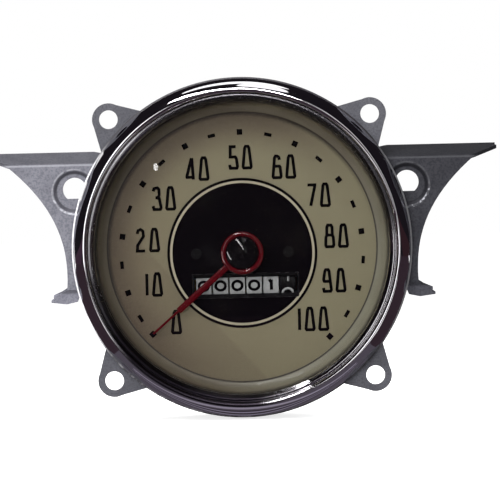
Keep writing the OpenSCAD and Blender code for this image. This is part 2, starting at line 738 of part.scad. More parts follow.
// Push-in lamps behind the dial
module at_lamp() translate(lamp_at * [cos(lamp_angle), 0, sin(lamp_angle)]) children();
module lamp_sockets() {
    color("Goldenrod") both_sides() at_lamp() {
        difference() {
            union() {
                rod_y(lamp_hole_r - rest_gap, wall_front - 5, wall_rear + 0.5);
                rod_y(lamp_hole_r + 1.6, wall_rear + 0.02, wall_rear + 0.8);
                rod_y(lamp_hole_r - 0.9, wall_rear + 0.4, wall_rear + 11);
                rod_y(2, wall_rear + 10, wall_rear + 13);
            }
            rod_y(lamp_hole_r - 1.2, wall_front - 6, wall_rear + 6);
        }
    }
}
module lamp_bulbs() {
    color("White", 0.6) both_sides() at_lamp() {
        rod_y(lamp_hole_r - 1.3, wall_front - 6, wall_rear + 5.5);
        translate([0, wall_front - 9, 0]) sphere(lamp_hole_r - 1);
    }
}

// Pointer at rest on the zero mark, with its raised ring and domed cap
module at_zero() on_axis() rotate([0, zero_angle, 0]) children();
module bar(w, from, to) translate([-w / 2, from]) square([w, to - from]);
module pointer() {
    step_at = 0.715 * pointer_length;
    ring_y = dial_front - 3.9;
    color("FireBrick") at_zero() difference() {
        union() {
            tube_y(pointer_ring_radius, pointer_ring_radius - 1.9, ring_y, ring_y + 1.8);
            rod_y(pointer_ring_radius - 0.3, ring_y + 1.4, ring_y + 2.4);
            sheet(ring_y + 1.2, 0.7) bar(2.4, pointer_ring_radius - 1, step_at);
            sheet(ring_y + 1.35, 0.4) bar(0.86, step_at - 1, pointer_length);
        }
        rod_y(staff_r + 0.02, 0, ring_y + 6);
    }
}
module hub_cap() {
    r = pointer_ring_radius - 1.95;
    back = dial_front - 2.55;
    dome = [for (a = [0 : 10 : 90]) [r * cos(a), back - 0.6 - 2.2 * sin(a)]];
    color("Black") at_zero() difference() {
        turned() polygon(concat([[0, back], [r, back]], dome));
        rod_y(staff_r + 0.02, back - 1.2, back + 1);
    }
}
module staff() {
    color("Silver") at_zero() {
        rod_y(staff_r, dial_front - 3.6, cup_front + 0.5);
        rod_y(staff_r - 0.3, cup_front, cup_front + 2.5);
    }
}
module hairspring_collet() {
    color("Goldenrod") at_zero() tube_y(1.6, staff_r + 0.02, dial_rear + 0.6, dial_rear + 1.8);
}
module speed_cup() {
    color("LightGray") at_zero() difference() {
        union() {
            rod_y(cup_r, cup_front, cup_front + cup_depth);
            rod_y(2.2, cup_front - 1, cup_front + 0.3);
        }
        rod_y(cup_r - 0.5, cup_front + 0.5, cup_front + cup_depth + 1);
        rod_y(staff_r + 0.02, cup_front - 2, cup_front + 2);
    }
}
// Sector on the staff: one edge meets the stop pin at zero, the other at full travel
module stop_sector() {
    reach = stop_at + 0.6;
    pin_half = asin((stop_r + rest_gap) / stop_at);
    spread = 360 - pointer_travel - 2 * pin_half;
    edges = [for (i = [6 : -1 : 0]) stop_angle - pin_half - spread * i / 6];
    y = front_plate_rear + 0.8;
    color("Silver") on_axis() difference() {
        sheet(y, 0.8) union() {
            circle(1.7);
            polygon(concat([[0, 0]], [for (a = edges) reach * [cos(a), sin(a)]]));
        }
        rod_y(staff_r + 0.02, y - 1, y + 2);
    }
}

// Drive shaft with its worm and square socket, the magnet and the end collar
module drive_shaft() {
    color("LightSteelBlue") on_axis() difference() {
        union() {
            rod_y(drive_r - 0.6, cup_front + 1.2, first_shaft_y);
            translate([0, first_shaft_y, 0]) rotate([-90, 0, 0])
                worm(fine_module, fine_centres - fine_module * wheel_teeth / 2, 4, 6);
            rod_y(drive_r - 0.6, first_shaft_y, base_front - 1.6);
            rod_y(3.4, base_front - 2.4, base_front - 1.05);
            rod_y(drive_r, base_front - 2, bush_rear + 1.9);
        }
        rod_y(staff_r - 0.3 + running_gap, cup_front, cup_front + 3);
        translate([-1.35, base_rear + 1, -1.35]) cube([2.7, 20, 2.7]);
    }
}
module ring_magnet() {
    color("DarkSlateGray") on_axis()
        tube_y(cup_r - 1.2, drive_r - 0.58, cup_front + 1.4, cup_front + cup_depth + 0.3);
}
module drive_collar() {
    color("Silver") on_axis() tube_y(drive_r + 1.3, drive_r + 0.02, bush_rear + 0.5, bush_rear + 1.5);
}

// First shaft runs sideways below the drive shaft; second shaft runs forward to the odometer
module first_shaft() {
    color("LightSteelBlue") on_axis() translate([0, first_shaft_y, -fine_centres]) {
        rod_x(shaft_r, -lug_x - lug_sheet, right_cheek_x + cheek_sheet);
        translate([gear_x, 0, 0]) rotate([0, 90, 0])
            worm(fine_module, fine_centres - fine_module * wheel_teeth / 2, 4, 12);
    }
}
module first_wheel() {
    at = [0, first_shaft_y, -fine_centres];
    color("SaddleBrown") on_axis() translate(at) rotate([0, 90, 0]) difference() {
        union() {
            linear_extrude(wheel_face, center = true) wheel_outline(fine_module);
            cylinder(r = 2.2, h = 4, center = true);
        }
        cylinder(r = shaft_r + 0.02, h = 20, center = true);
    }
}
module second_shaft() {
    color("LightSteelBlue") on_axis() translate([gear_x, 0, 0]) {
        rod_y(shaft_r, front_plate_y + 0.3, base_front + 1.8);
        translate([0, axle_y, 0]) rotate([-90, 0, 0])
            worm(coarse_module, coarse_centres - coarse_module * wheel_teeth / 2, 4, 6);
    }
}
module second_wheel() {
    color("SaddleBrown") on_axis() translate([gear_x, first_shaft_y, 0]) rotate([-90, 0, 0]) difference() {
        union() {
            linear_extrude(wheel_face, center = true) wheel_outline(fine_module);
            cylinder(r = 2.2, h = 4, center = true);
        }
        cylinder(r = shaft_r + 0.02, h = 20, center = true);
    }
}

// Drums: a hub, a web and a rim; transfer teeth are set back inside the left recess and an inner
// ring of teeth is cut in the right recess
module drum(i, geared) {
    x = first_drum_x + i * drum_pitch;
    difference() {
        rod_x(drum_radius, x, x + drum_face);
        difference() {
            rod_x(inner_r + 0.85, x - 1, x + recess_left);
            rod_x(hub_r, x - 2, x + drum_face);
            driver_teeth(x);
        }
        difference() {
            if (geared) {
                plate_x(x + drum_face - recess_right, recess_right + 1)
                    polygon(tooth_ring(inner_teeth, inner_r + 0.85, inner_r - 0.6, 0.22, 0.35));
            } else {
                rod_x(inner_r, x + drum_face - recess_right, x + drum_face + 1);
            }
            rod_x(hub_r, x - 2, x + drum_face + 2);
        }
        rod_x(drum_bore_r, x - 1, x + drum_face + 1);
    }
}
module driver_teeth(x) {
    for (a = [-9, 9]) rotate([a, 0, 0])
        translate([x + 0.9, inner_r - 0.6, -0.45]) cube([recess_left, 3, 0.9]);
}
module tenths_drum() color("Black") on_axle() drum(drum_count - 1, false);
module number_drum(i) color("White") on_axle() drum(i - 1, true);
module number_drum_1() number_drum(1);
module number_drum_2() number_drum(2);
module number_drum_3() number_drum(3);
module number_drum_4() number_drum(4);
module number_drum_5() number_drum(5);
module odometer_gear() {
    color("SaddleBrown") on_axle() difference() {
        union() {
            translate([gear_x, 0, 0]) rotate([0, 90, 0])
                linear_extrude(wheel_face, center = true) wheel_outline(coarse_module);
            rod_x(2.6, last_drum_right + 0.05, gear_x + 0.9);
        }
        rod_x(axle_r + running_gap, 0, 60);
    }
}

// Transfer pinions: six teeth on the left of the carrier, a journal through it and a flange on its right
module transfer_pinion(i) {
    clear = 0.08;
    x = gap_x(i);
    r = transfer_module * pinion_teeth / 2;
    color("Goldenrod") on_axle() translate([0, pinion_centres, 0]) {
        plate_x(x - carrier_sheet / 2 - clear - 1.5, 1.5)
            polygon(tooth_ring(pinion_teeth, r + 0.65, r - 0.85, 0.09, 0.2));
        rod_x(journal_r, x - carrier_sheet / 2 - clear - 0.5, x + carrier_sheet / 2 + clear + 0.2);
        rod_x(1.8, x + carrier_sheet / 2 + clear, x + carrier_sheet / 2 + clear + 0.5);
    }
}
module transfer_pinion_1() transfer_pinion(1);
module transfer_pinion_2() transfer_pinion(2);
module transfer_pinion_3() transfer_pinion(3);
module transfer_pinion_4() transfer_pinion(4);
module transfer_pinion_5() transfer_pinion(5);

// Draw one node, or all of them
mounting_plate();
left_wing();
right_wing();
wing_rivets();
case_can();
bezel();
glass();
glass_gasket();
dial_rim();
dial();
dial_print();
window_frame();
dial_screws();
dial_posts();
front_plate();
front_plate_screws();
movement_frame();
cable_stem();
frame_screws();
staff_bush();
drive_bush();
field_ring();
hairspring();
hairspring_stud();
stop_pin();
odometer_axle();
axle_spacers();
pinion_carriers();
carrier_rod();
lamp_sockets();
lamp_bulbs();
pointer();
hub_cap();
staff();
hairspring_collet();
speed_cup();
stop_sector();
drive_shaft();
ring_magnet();
drive_collar();
first_shaft();
first_wheel();
second_shaft();
second_wheel();
tenths_drum();
odometer_gear();
number_drum_1();
number_drum_2();
number_drum_3();
number_drum_4();
number_drum_5();
transfer_pinion_1();
transfer_pinion_2();
transfer_pinion_3();
transfer_pinion_4();
transfer_pinion_5();
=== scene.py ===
"""Looks of a round dashboard speedometer: chrome bezel, khaki dial, red pointer and drum odometer.

Lengths are written in millimetres and scaled to metres when a mesh is made. X runs right, Y to the rear
and Z up. The origin is the middle of the four ear holes, which is also the middle of the bezel.
"""
import json
import math

import bpy
import numpy as np
from mathutils import Matrix, Vector


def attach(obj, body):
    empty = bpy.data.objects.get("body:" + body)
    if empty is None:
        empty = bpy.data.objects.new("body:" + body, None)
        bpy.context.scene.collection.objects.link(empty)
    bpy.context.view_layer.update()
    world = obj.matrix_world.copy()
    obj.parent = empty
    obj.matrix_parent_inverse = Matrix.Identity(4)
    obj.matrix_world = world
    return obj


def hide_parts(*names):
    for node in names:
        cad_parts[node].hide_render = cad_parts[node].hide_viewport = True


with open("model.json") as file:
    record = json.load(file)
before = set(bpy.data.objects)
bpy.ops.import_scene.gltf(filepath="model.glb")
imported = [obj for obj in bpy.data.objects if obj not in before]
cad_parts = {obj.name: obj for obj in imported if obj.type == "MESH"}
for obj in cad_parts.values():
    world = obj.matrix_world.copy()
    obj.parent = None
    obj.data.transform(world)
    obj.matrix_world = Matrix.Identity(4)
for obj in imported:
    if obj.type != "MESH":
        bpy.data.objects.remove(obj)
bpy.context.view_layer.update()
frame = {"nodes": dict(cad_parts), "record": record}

# Sizes and places that pieces and finishes share

MM = 0.001
AXIS_Z = -2.2
BEZEL_R = 63.5
CROWN_R = 58.5
STEP_R = 57.3
LIP_R = 54.8
DIAL_R = 50.5
PALE_RING = (25.4, 25.9, 27.3, 27.8)
POINTER_RING_END = (8.3, 9.5)

# Wings: the middle of the dished hole, the dish's edge with its painted highlight and its side with painted
# shade, the bend along the top with its painted highlight, the foot

WING_HOLE_X = 62.1
WING_HOLE_Z = 22.1
DISH_EDGE = (7.7, 8.2, 8.4, 8.9)
DISH_SIDE = (6.3, 6.8, 7.5, 8.0)
DISH_CLEAR = (9, 10)
WING_BEND = (31.5, 31.9, 32.2, 32.5)
ABOVE_BEND = (32.4, 33.0)
WING_FOOT = (-16.4, -15.4)

# Odometer

AXLE_Y = 17.1
AXLE_Z = -14.4
DRUM_R = 10.0
DRUM_PITCH = 6.3
DRUM_FACE = 5.65
FIRST_DRUM_X = -17.6


# Shader maths

class Value:
    """A shader socket that takes part in Python sums: each operation adds a Math node."""

    def __init__(self, finish, socket):
        self.finish = finish
        self.socket = socket

    def math(self, operation, first, second):
        return self.finish.node("Math", {"operation": operation}, {0: first, 1: second})

    def __add__(self, other):
        return self.math("ADD", self, other)

    def __sub__(self, other):
        return self.math("SUBTRACT", self, other)

    def __mul__(self, other):
        return self.math("MULTIPLY", self, other)

    def __rsub__(self, other):
        return self.math("SUBTRACT", other, self)

    def __neg__(self):
        return self * -1.0

    def __abs__(self):
        return self.math("ABSOLUTE", self, 0.0)

    __radd__ = __add__
    __rmul__ = __mul__

    def step(self, low, high):
        """0 below low, 1 above high and a smooth rise between them."""
        ends = {"Value": self, "From Min": low, "From Max": high}
        return self.finish.node("MapRange", {"interpolation_type": "SMOOTHSTEP"}, ends)

    def band(self, rise, full, fall, end):
        """1 from full to fall, with a smooth rise before it and a smooth drop after it."""
        return self.step(rise, full) * (1.0 - self.step(fall, end))


class Finish:
    """One material or world: its node tree, and the one method that adds a node to it."""

    def __init__(self, owner):
        self.owner = owner
        owner.use_nodes = True
        self.tree = owner.node_tree
        self.tree.nodes.clear()

    def node(self, kind, settings=None, sockets=None, out=0):
        """Adds a node: first its settings, then its sockets' values or links."""
        made = self.tree.nodes.new("ShaderNode" + kind)
        for key, value in (settings or {}).items():
            setattr(made, key, value)
        for key, value in (sockets or {}).items():
            if isinstance(value, Value):
                self.tree.links.new(value.socket, made.inputs[key])
            else:
                made.inputs[key].default_value = value
        return Value(self, made.outputs[out]) if made.outputs else None

    def place(self):
        """The piece's own coordinates, in metres."""
        return self.node("TexCoord", out="Object")

    def front_axes(self):
        """How far a point lies to the right and up, in millimetres."""
        scaled = self.node("VectorMath", {"operation": "SCALE"}, {0: self.place(), "Scale": 1 / MM})
        split = self.node("SeparateXYZ", None, {0: scaled})
        outputs = split.socket.node.outputs
        return Value(self, outputs["X"]), Value(self, outputs["Z"])

    def reach(self, right, up):
        """How far a point lies along a direction of the front view with these shares of right and up."""
        x, z = self.front_axes()
        return x * right + z * up

    def noise(self, size, detail, rough=0.5, stretch=(1, 1, 1)):
        """Cloudy noise from 0 to 1 whose lumps are about size millimetres across."""
        moved = self.node("Mapping", None, {"Vector": self.place(), "Scale": stretch})
        return self.node("TexNoise", None, {"Vector": moved, "Scale": 1 / (size * MM), "Detail": detail,
                                            "Roughness": rough})

    def distance(self, across, up):
        """The length of the line from the origin to a point across and up."""
        apart = self.node("CombineXYZ", None, {0: across, 1: up})
        return self.node("VectorMath", {"operation": "LENGTH"}, {0: apart}, out="Value")

    def radius(self, centre_z=0.0):
        """A point's distance, seen from the front, from the bezel's middle or a place above or below it."""
        x, z = self.front_axes()
        return self.distance(x, z - centre_z)

    def mix(self, share, first, second):
        """A colour that goes from first to second as share goes from 0 to 1."""
        return self.node("Mix", {"data_type": "RGBA"}, {0: share, 6: rgba(first), 7: rgba(second)}, out=2)

    def bump(self, height, depth, strength):
        """A normal bent by a height field whose full swing is depth millimetres."""
        return self.node("Bump", None, {"Height": height, "Distance": depth * MM, "Strength": strength})

    def finish(self, shader):
        """Links the shader to the output and gives the finished material or world."""
        output = "OutputMaterial" if isinstance(self.owner, bpy.types.Material) else "OutputWorld"
        self.node(output, None, {"Surface": shader})
        return self.owner

    def surface(self, colour, rough, **sockets):
        """A Principled surface; names with underscores stand for the sockets' names."""
        named = {key.replace("_", " "): value for key, value in sockets.items()}
        named["Base Color"] = rgba(colour)
        named["Roughness"] = rough
        return self.finish(self.node("BsdfPrincipled", None, named))


def rgba(colour):
    """Adds the fourth number to a plain colour; a linked one stays as it is."""
    return colour if isinstance(colour, Value) else (*colour[:3], 1.0)


def srgb(r, g, b):
    """A screen colour from 0 to 255 as the linear numbers that shaders take."""
    c = np.array([r, g, b]) / 255
    return tuple(np.where(c <= 0.04045, c / 12.92, ((c + 0.055) / 1.055) ** 2.4).tolist())


def material(name):
    return Finish(bpy.data.materials.new(name))


# Finishes

def zinc(name, shade, lift, foot=0.0, gloss=0.5):
    """Dull zinc on sheet steel: lilac grey, cloudy, speckled and rubbed bright in patches, with painted
    highlights on the bend and pressed edges.

    The shade argument scales the colour as painted light, smaller for a part painted darker as if in shade,
    and a smaller gloss gives duller plating. It is lighter downwards by lift, painted darker above the wings'
    bend as the flange's shade, and painted lighter by foot on the wings' flared feet as lit."""
    f = material(name)
    cloud = f.noise(9, 3)
    speckle = f.noise(0.7, 2)
    x, z = f.front_axes()
    rub = f.noise(3.5, 4, 0.65, (1, 1, 0.35)).step(0.58, 0.74)
    broken = f.noise(2.5, 3).step(0.3, 0.55)
    from_hole = f.distance(abs(x) - WING_HOLE_X, z - WING_HOLE_Z)
    # Painted highlight on the dish's pressed edge, broken into pieces
    edge = from_hole.band(*DISH_EDGE) * broken
    # Painted shade in the dish's side, just inside its edge
    grime_and_shade = from_hole.band(*DISH_SIDE)
    # Painted highlight along the bend under the top flange
    bend = z.band(*WING_BEND) * from_hole.step(*DISH_CLEAR)
    base = f.mix(cloud.step(0.3, 0.7), srgb(136, 136, 147), srgb(154, 154, 165))
    base = f.mix(speckle.step(0.42, 0.66) * 0.6, base, srgb(104, 104, 116))
    base = f.mix(rub * 0.25, base, srgb(184, 184, 194))
    # Painted shade in the dish's side
    base = f.mix(grime_and_shade * 0.7, base, srgb(70, 68, 78))
    # Painted highlight on the dish's edge and on the bend
    base = f.mix((edge + bend) * 0.5, base, srgb(220, 220, 228))
    # Brightness by height: lighter downwards by lift, painted shade above the bend on the flange, painted
    # light on the flared feet
    depth = 1.0 + lift * (1.0 - z.step(-12, 30)) - 0.3 * z.step(*ABOVE_BEND)
    depth = depth * (1.0 + foot * (1.0 - z.step(*WING_FOOT)))
    base = f.node("VectorMath", {"operation": "SCALE"}, {0: base, "Scale": depth * shade})
    # Painted highlight specks on the lower half of the dish's edge
    lip_highlight = edge * f.noise(1.3, 3).step(0.48, 0.56) * (1.0 - z.step(17, 24))
    base = f.mix(lip_highlight * 0.8, base, srgb(196, 196, 204))
    height = speckle * 0.6 + f.noise(1.6, 3) * 0.4
    return f.surface(base, 0.4 + 0.14 * cloud - 0.06 * rub, Metallic=0.3, Specular_IOR_Level=gloss,
                     Normal=f.bump(height, 0.06, 0.8))


def case_paint():
    """Satin black paint with a faint orange peel and thin grey scuffs."""
    f = material("case_paint")
    peel = f.noise(0.9, 2)
    scuff = f.noise(2.2, 4, 0.7, (1, 0.12, 1)).step(0.66, 0.76)
    base = f.mix(f.noise(18, 3), srgb(20, 20, 22), srgb(34, 33, 35))
    base = f.mix(scuff * 0.5, base, srgb(92, 90, 92))
    return f.surface(base, 0.42 + 0.2 * scuff, Normal=f.bump(peel, 0.02, 0.5))


def bezel_chrome():
    """Bright plating with a slight violet cast, a veil of dust and hair scratches round the ring.

    Inside the crown it is painted dark and rough, as painted shade that dims its reflections: at the foot,
    half as much to the left, and in the groove under the step, which keeps its bright reflections only to the
    lower right and to the left."""
    f = material("bezel_chrome")
    dust = f.noise(2.4, 4, 0.6).step(0.55, 0.8)
    hair = f.noise(0.7, 3, 0.6, (1, 0.25, 1)).step(0.62, 0.72)
    base = f.mix(f.noise(25, 2), srgb(206, 202, 208), srgb(220, 219, 221))
    base = f.mix(dust * 0.2, base, srgb(150, 146, 150))
    x, z = f.front_axes()
    out = f.distance(x, z)
    inner = 1.0 - out.step(CROWN_R - 0.3, CROWN_R + 0.2)
    crown = 1.0 - out.step(CROWN_R + 0.5, CROWN_R + 1.0)
    low = (-z).step(24, 42)
    # Masks for the painted shade that dims the reflections inside the crown
    slope = (inner + (crown - inner) * low) * f.reach(-1.6, -1.0).step(26, 52)
    slope = slope * (0.4 + 0.6 * (-z).step(15, 35))
    foot = f.reach(-0.55, -1.0).step(38, 44)
    # Where the groove keeps its bright reflections, without painted shade: to the lower right and to the left
    clean = f.reach(0.8, -0.6).step(36, 46) * (1.0 - foot)
    unshaded_left = 0.9 * (-x).step(20, 45) * (1.0 - foot)
    groove = (1.0 - out.step(STEP_R - 0.1, STEP_R + 0.3)) * (1.0 - clean) * (1.0 - unshaded_left)
    reflection_shade = 1.0 - (1.0 - slope) * (1.0 - 0.85 * groove)
    # Painted shade: dark chrome inside the crown
    base = f.mix(reflection_shade, base, srgb(38, 34, 40))
    return f.surface(base, 0.035 + 0.05 * dust + 0.05 * hair + 0.26 * reflection_shade, Metallic=1.0,
                     Normal=f.bump(f.noise(6, 1), 0.012, 0.35))


def satin_edge():
    """Unpolished plating on the rolled edge: pale, with painted shade that greys it at the right and darkens
    it at top and foot, and some dirt.
    """
    f = material("satin_edge")
    x, z = f.front_axes()
    dirt = f.noise(1.5, 4, 0.6).step(0.5, 0.8)
    base = f.mix(dirt * 0.4, srgb(240, 239, 242), srgb(170, 166, 170))
    # Painted shade: grey at the right
    base = f.mix(x.step(0, 30) * 0.85, base, srgb(84, 84, 88))
    blot = f.noise(2.2, 4, 0.65).step(0.4, 0.7)
    low = (-z).step(0, 20)
    # Painted shade: dark at top and foot, broken by blots at the foot
    base = f.mix(abs(z).step(26, 42) * (0.97 - 0.3 * blot * low), base, srgb(44, 40, 46))
    return f.surface(base, 0.45 + 0.2 * dirt, Metallic=0.2)


def clear_glass(name, clear, dust_share):
    """Thin glass with a mirror that grows to the edge and a veil of dust; each face passes a clear share."""
    f = material(name)
    mirror = f.node("BsdfGlossy", None, {"Color": (1, 1, 1, 1), "Roughness": 0.004})
    through = f.node("BsdfTransparent", None, {"Color": (clear, clear, clear, 1)})
    haze = f.node("BsdfDiffuse", None, {"Color": rgba(srgb(150, 140, 120))})
    slant = f.node("LayerWeight", None, {"Blend": 0.5}, out="Facing")
    squared = slant * slant
    bright = 0.034 + 0.966 * (squared * squared * slant)
    pane = f.node("MixShader", None, {0: bright, 1: through, 2: mirror})
    veil = f.noise(14, 4, 0.6).step(0.45, 0.85) * dust_share
    return f.finish(f.node("MixShader", None, {0: veil, 1: pane, 2: haze}))


def gasket_rubber():
    """Black rubber, matt and a little chalky."""
    f = material("gasket_rubber")
    chalk = f.noise(1.2, 4, 0.6)
    base = f.mix(chalk.step(0.4, 0.8), srgb(17, 15, 16), srgb(44, 40, 38))
    return f.surface(base, 0.7, Normal=f.bump(chalk, 0.03, 0.5))


def rim_cream():
    """Cream paint on the coved ring, browned with age in patches, with painted shade away from the lower
    right and at the upper left, and painted shadow lines where it meets the dial and the bezel.
    """
    f = material("rim_cream")
    out = f.radius()
    age = f.noise(16, 3)
    # Painted shade: darker away from the lower right, and more in the upper-left corner
    shaded_side = f.reach(-0.87, 0.5).step(-56, -8)
    corner = f.reach(-0.57, 0.82).step(34, 50)
    base = f.mix(shaded_side, srgb(131, 128, 111), srgb(101, 93, 78))
    base = f.mix(corner * 0.4, base, srgb(46, 37, 30))
    base = f.mix(age.step(0.45, 0.8) * 0.25, base, srgb(92, 84, 70))
    # Painted shadow line where the ring meets the dial
    base = f.mix((1.0 - out.step(DIAL_R, DIAL_R + 0.5)) * 0.9, base, srgb(30, 22, 14))
    # Painted shadow at the ring's outer edge under the bezel
    base = f.mix(out.step(LIP_R - 1.2, LIP_R - 0.2) * 0.85, base, srgb(26, 20, 18))
    return f.surface(base, 0.4, Normal=f.bump(f.noise(0.8, 2), 0.01, 0.4), Coat_Weight=0.15)


def dial_khaki():
    """Khaki dial paint: olive, with painted shade that browns it at the lower left, with a sharp painted
    shadow edge there, and darkens it along its upper left edge.

    It has a fine tooth, faint stains, a painted shadow line round its upper edge and a pale one round the
    disc."""
    f = material("dial_khaki")
    out = f.radius()
    cloud = f.noise(20, 3)
    tooth = f.noise(0.35, 2)
    # Painted shade: browner towards the lower left, clouded
    shaded_side = (f.reach(-1.0, -0.35) + cloud * 22.0).step(-25, 62)
    base = f.mix(shaded_side * 0.3, srgb(131, 124, 97), srgb(96, 76, 58))
    # Painted shadow with a sharp edge at the lower left
    low = f.reach(-0.743, -0.67).step(26.2, 27.6)
    base = f.mix(low * 0.24, base, srgb(84, 70, 56))
    # Painted shade near the rim, strongest to the upper left
    edge = out.step(33, DIAL_R - 0.5) * f.reach(-0.87, 0.5).step(-30, 20)
    base = f.mix(edge * 0.9, base, srgb(84, 69, 54))
    # Painted shadow line under the rim's upper edge
    line = out.step(DIAL_R - 1.9, DIAL_R - 0.3) * f.reach(-0.45, 0.9).step(-20, 25)
    base = f.mix(line * 0.75, base, srgb(28, 20, 12))
    base = f.mix(f.noise(6, 4, 0.6).step(0.55, 0.85) * 0.3, base, srgb(120, 108, 82))
    base = f.mix(tooth.step(0.4, 0.75) * 0.12, base, srgb(164, 156, 128))
    base = f.mix(f.radius(AXIS_Z).band(*PALE_RING) * 0.85, base, srgb(184, 174, 150))
    return f.surface(base, 0.5 + 0.1 * cloud, Normal=f.bump(tooth, 0.008, 0.4))


def print_black():
    """Black ink, slightly raised and slightly glossy, thinner in places."""
    f = material("print_black")
    thin = f.noise(1.1, 3).step(0.5, 0.85)
    base = f.mix(thin * 0.5, srgb(5, 2, 6), srgb(12, 8, 12))
    return f.surface(base, 0.45 + 0.12 * thin, Specular_IOR_Level=0.05,
                     Normal=f.bump(f.noise(0.5, 2), 0.006, 0.5))


def window_grey():
    """Dark painted window frame, worn grey in patches."""
    f = material("window_grey")
    wear = f.noise(1.4, 4, 0.6).step(0.45, 0.75)
    base = f.mix(wear * 0.6, srgb(12, 10, 13), srgb(48, 46, 50))
    return f.surface(base, 0.45, Normal=f.bump(wear, 0.01, 0.4), Specular_IOR_Level=0.2)


def metal(name, dark, light, rough, grain, stretch):
    """Bare metal with tool marks stretched one way, darker where it has tarnished."""
    f = material(name)
    marks = f.noise(grain, 3, 0.6, stretch)
    tarnish = f.noise(5, 4, 0.6)
    base = f.mix(tarnish.step(0.35, 0.75), light, dark)
    return f.surface(base, rough + 0.15 * tarnish, Metallic=1.0, Normal=f.bump(marks, 0.015, 0.5))


def die_cast():
    """Die-cast frame: grey, slightly grainy, with flow marks."""
    f = material("die_cast")
    grain = f.noise(0.5, 2)
    flow = f.noise(8, 4, 0.6)
    base = f.mix(flow.step(0.35, 0.7), srgb(150, 150, 153), srgb(182, 182, 185))
    return f.surface(base, 0.45 + 0.15 * grain, Metallic=0.9, Normal=f.bump(grain, 0.03, 0.6))


def pointer_red():
    """Dark red pointer paint, rubbed a shade lighter in spots and glossy on the ring."""
    f = material("pointer_red")
    coat = 1.0 - 0.85 * f.radius(AXIS_Z).step(*POINTER_RING_END)
    spot = f.noise(1.2, 3).step(0.5, 0.8)
    base = f.mix(spot * 0.4, srgb(78, 0, 9), srgb(94, 4, 16))
    return f.surface(base, 0.5 - 0.1 * spot, Normal=f.bump(f.noise(0.4, 2), 0.006, 0.4),
                     Specular_IOR_Level=0.05, Coat_Weight=coat, Coat_Roughness=0.1, Coat_IOR=1.75)


def cap_black():
    """Polished black cap with hair scratches."""
    f = material("cap_black")
    hair = f.noise(0.5, 3, 0.6, (1, 1, 0.2)).step(0.6, 0.75)
    base = f.mix(hair * 0.3, srgb(10, 8, 11), srgb(28, 26, 28))
    return f.surface(base, 0.05 + 0.06 * hair)


def pressed_fibre():
    """Brown pressed fibre with pale flecks."""
    f = material("pressed_fibre")
    fleck = f.noise(0.35, 3, 0.6, (1, 0.3, 1)).step(0.5, 0.7)
    base = f.mix(fleck, srgb(104, 64, 38), srgb(150, 104, 66))
    return f.surface(base, 0.6, Normal=f.bump(fleck, 0.02, 0.5))


def satin_paint(name, clean, soiled):
    """Satin paint of the drums and dial screws, with grime that gathers in blots."""
    f = material(name)
    grime_and_shade = f.noise(1.6, 4, 0.65).step(0.45, 0.85)
    base = f.mix(grime_and_shade * 0.5, clean, soiled)
    return f.surface(base, 0.45 + 0.15 * grime_and_shade, Normal=f.bump(f.noise(0.4, 2), 0.006, 0.4),
                     Specular_IOR_Level=0.15)


FINISHES = {
    "plate_grey": zinc("zinc_plate", shade=0.4, lift=-0.25),
    "case_black": case_paint(),
    "bezel_chrome": bezel_chrome(),
    "glass_clear": clear_glass("glass_clear", clear=0.87, dust_share=0.005),
    "gasket_rubber": gasket_rubber(),
    "rim_cream": rim_cream(),
    "dial_khaki": dial_khaki(),
    "print_black": print_black(),
    "window_grey": window_grey(),
    "brass": metal("brass", srgb(150, 112, 52), srgb(206, 166, 92), 0.25, 0.4, (1, 0.15, 1)),
    "frame_cast": die_cast(),
    "steel": metal("steel", srgb(140, 138, 138), srgb(196, 196, 198), 0.22, 0.3, (0.15, 1, 1)),
    "iron": metal("iron", srgb(58, 54, 52), srgb(92, 90, 90), 0.5, 0.6, (1, 1, 1)),
    "bulb_glass": clear_glass("bulb_glass", clear=0.98, dust_share=0.12),
    "pointer_red": pointer_red(),
    "cap_black": cap_black(),
    "cup_aluminium": metal("cup_aluminium", srgb(176, 176, 178), srgb(214, 214, 216), 0.28, 0.4, (1, 0.2, 1)),
    "fibre_brown": pressed_fibre(),
    "drum_black": satin_paint("drum_black", srgb(8, 6, 8), srgb(20, 17, 18)),
    "drum_white": satin_paint("drum_white", srgb(164, 165, 165), srgb(106, 101, 97)),
}
OWN_FINISHES = {
    "dial_screws": satin_paint("screw_black", srgb(10, 8, 11), srgb(34, 31, 35)),
    # Lit and shaded copies of the zinc: the left wing painted lighter as lit, the right wing painted darker
    # as in shade
    "left_wing": zinc("zinc_painted_lit", shade=0.54, lift=0.1, foot=1.0),
    "right_wing": zinc("zinc_painted_shaded", shade=0.13, lift=0.35, foot=1.0, gloss=0.1),
}
for part in frame["record"]["subparts"]:
    piece = frame["nodes"][part["node"]]
    piece.data.materials.clear()
    piece.data.materials.append(OWN_FINISHES.get(part["node"]) or FINISHES[part["material_slot"]])


# Making pieces

CREASE = math.radians(35)


def make_piece(name, points, faces, slot, body, finish=None):
    """Puts points (millimetres) and faces into a mesh that rides on body.

    The faces are turned round where the volume that they close would be negative."""
    corners = points[faces]
    volume = np.einsum("ij,ij->i", corners[:, 0], np.cross(corners[:, 1], corners[:, 2])).sum()
    if volume < 0:
        faces = faces[:, ::-1]
    mesh = bpy.data.meshes.new(name)
    mesh.from_pydata((points * MM).tolist(), [], faces.tolist())
    mesh.shade_smooth()
    mesh.set_sharp_from_angle(angle=CREASE)
    mesh.materials.append(finish or FINISHES[slot])
    piece = bpy.data.objects.new(name, mesh)
    bpy.context.scene.collection.objects.link(piece)
    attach(piece, body)
    return piece


